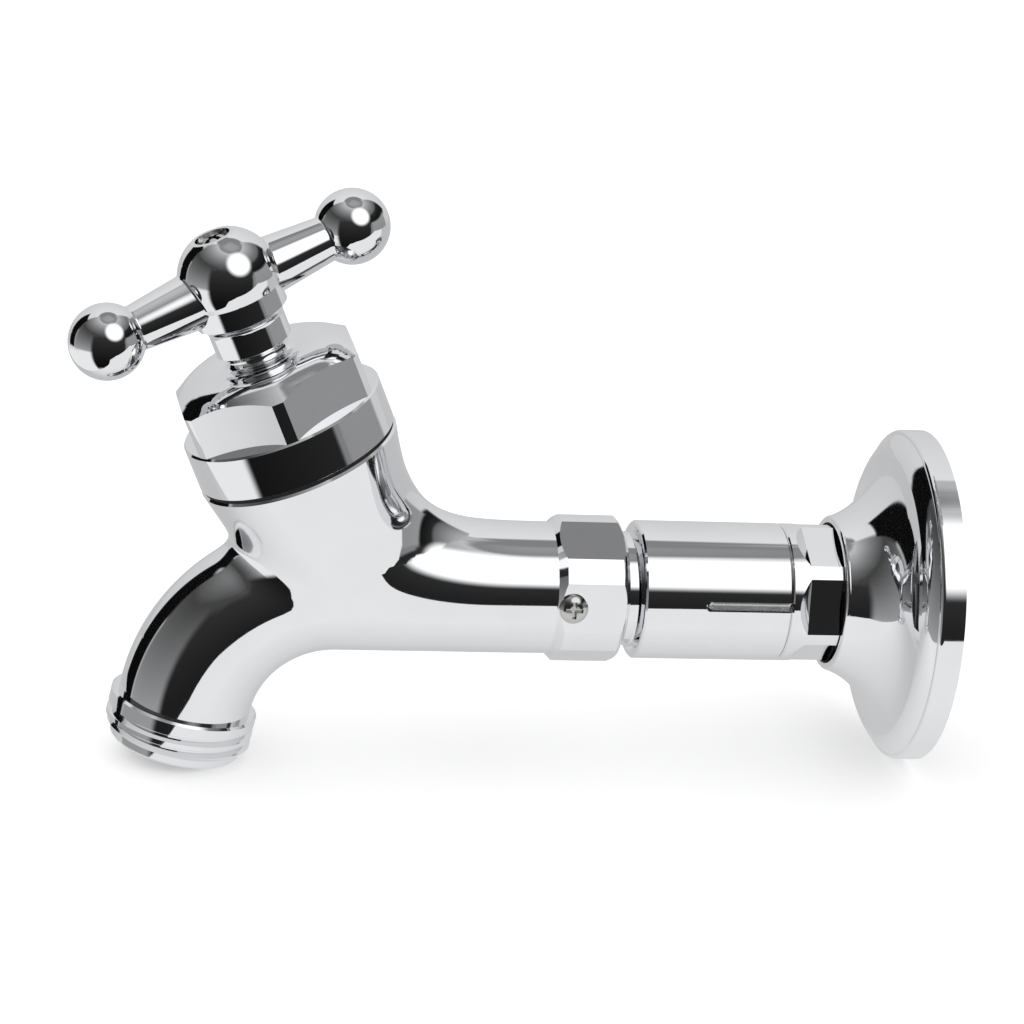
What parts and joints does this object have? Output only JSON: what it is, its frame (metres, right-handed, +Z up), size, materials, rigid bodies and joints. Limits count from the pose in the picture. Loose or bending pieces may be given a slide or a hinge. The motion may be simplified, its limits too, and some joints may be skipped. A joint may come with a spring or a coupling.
{
  "type": "garden tap",
  "caption": "Chrome bib tap: leaning bonnet, ball-ended bar handle, down-turned threaded hose spout, wall extension and round bell flange.",
  "frame": {"origin": "on the pipe's axis at the wall plane, where the flange's back rests", "axes": "+X along the pipe into the wall, +Z up, so the tap reaches out of the wall towards -X and +Y is the far side of the picture"},
  "size_m": [0.162, 0.0604, 0.1042],
  "materials": {
    "chrome_body": "polished chrome plate on cast brass",
    "chrome_bonnet": "polished chrome plate on turned brass",
    "chrome_extension": "polished chrome plate on turned brass",
    "chrome_sleeve": "polished chrome plate on turned brass",
    "chrome_flange": "polished chrome plate on spun brass",
    "chrome_handle": "polished chrome plate on cast zinc",
    "bright_screw": "nickel-plated steel",
    "bright_key": "polished steel",
    "plain_brass": "turned brass",
    "black_rubber": "moulded rubber",
    "red_fibre": "dark fibre sheet",
    "white_nylon": "moulded nylon"
  },
  "bodies": {
    "tap": {"tap_body": "chrome_body", "lock_screw": "bright_screw", "valve_seat": "plain_brass", "bonnet": "chrome_bonnet", "bonnet_gasket": "red_fibre", "inlet_seal": "black_rubber", "extension_body": "chrome_extension", "extension_sleeve": "chrome_sleeve", "sleeve_key": "bright_key"},
    "valve": {"jumper": "plain_brass", "seat_washer": "black_rubber", "washer_plate": "plain_brass", "washer_nut": "plain_brass"},
    "turning": {"spindle": "plain_brass", "spindle_oring_upper": "black_rubber", "spindle_oring_lower": "black_rubber", "thrust_washer": "white_nylon", "handle": "chrome_handle", "handle_screw": "bright_screw", "handle_lock_washer": "bright_screw"},
    "flange_grip": {"flange_ring": "black_rubber"},
    "flange": {"wall_flange": "chrome_flange"}
  },
  "joints": [
    {"name": "valve_lift", "type": "slide", "parent": "tap", "child": "valve", "axis": [-0.4099, 0, 0.9121], "range_m": [0, 0.005]},
    {"name": "handle_turn", "type": "hinge", "parent": "valve", "child": "turning", "pos_m": [-0.11647, 0, 0.02463], "axis": [-0.4099, 0, 0.9121], "range_deg": [0, 720]},
    {"name": "flange_slide", "type": "slide", "parent": "tap", "child": "flange_grip", "axis": [-1, 0, 0], "range_m": [0, 0.036]},
    {"name": "flange_spin", "type": "hinge", "parent": "flange_grip", "child": "flange", "pos_m": [0, 0, 0], "axis": [-1, 0, 0], "continuous": true}
  ],
  "couplings": [
    {"joint": "valve_lift", "follows": "handle_turn", "m_per_rad": 0.00039789}
  ]
}
